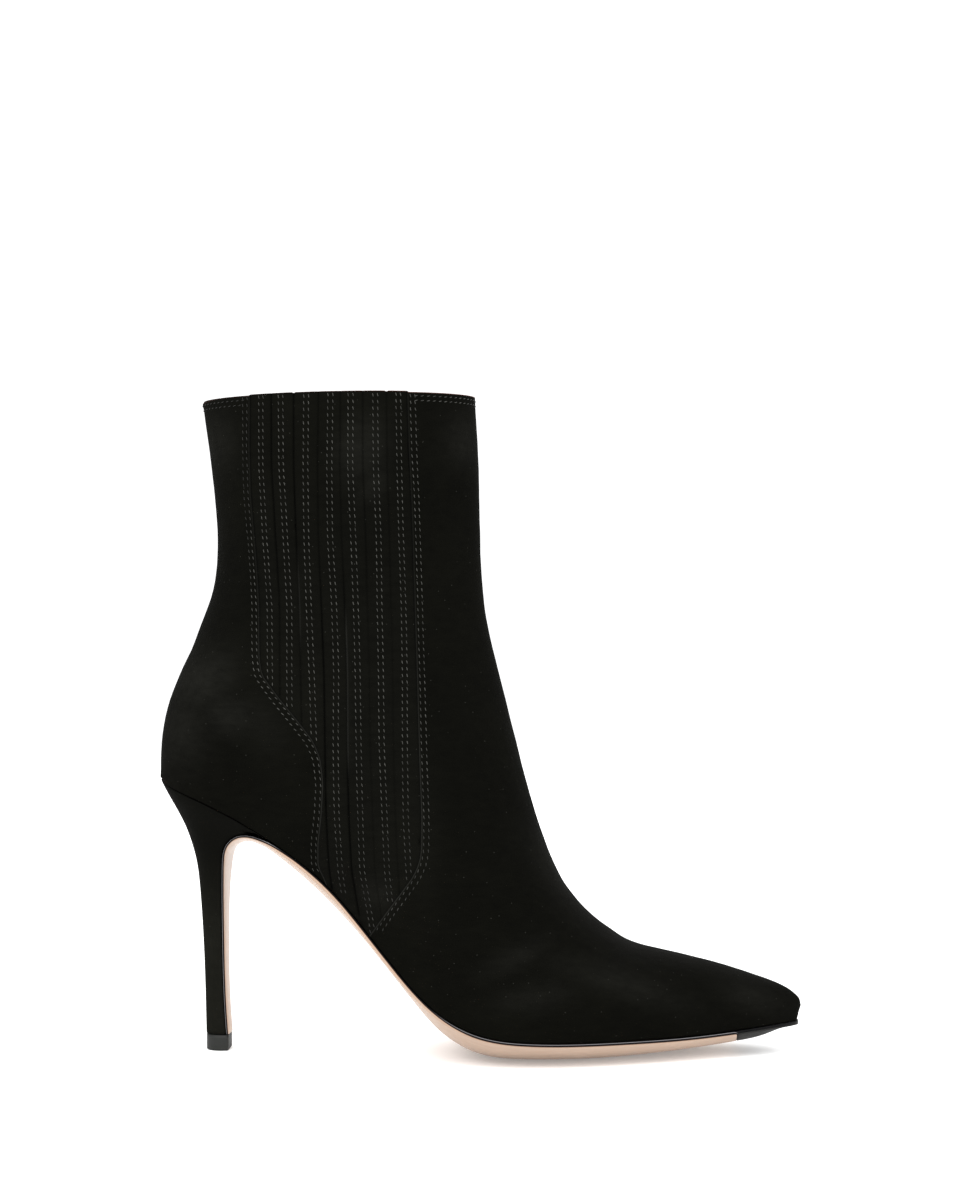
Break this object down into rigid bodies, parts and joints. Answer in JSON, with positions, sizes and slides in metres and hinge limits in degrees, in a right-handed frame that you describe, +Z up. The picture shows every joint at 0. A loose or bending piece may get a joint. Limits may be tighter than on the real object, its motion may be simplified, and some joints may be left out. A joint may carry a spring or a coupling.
{
  "type": "stiletto ankle bootie",
  "caption": "Black suede ankle bootie with a pointed toe, a slim high covered heel, a ribbed side stretch panel and a pale leather sole, open at the collar.",
  "frame": {"origin": "middle of the flat face of the heel tip, on the floor", "axes": "+X towards the toe, +Y towards the inner side of the foot, +Z up; the shoe stands on z = 0"},
  "size_m": [0.2386, 0.0766, 0.2428],
  "materials": {
    "suede": "napped black suede",
    "sole_leather": "smooth pale sole leather, satin",
    "rubber": "matte black rubber",
    "lining_leather": "matte reddish brown lining leather"
  },
  "bodies": {
    "root": {"upper": "suede", "heel": "suede", "outsole": "sole_leather", "toe_pad": "rubber", "heel_tip": "rubber", "insole": "lining_leather"}
  },
  "joints": []
}
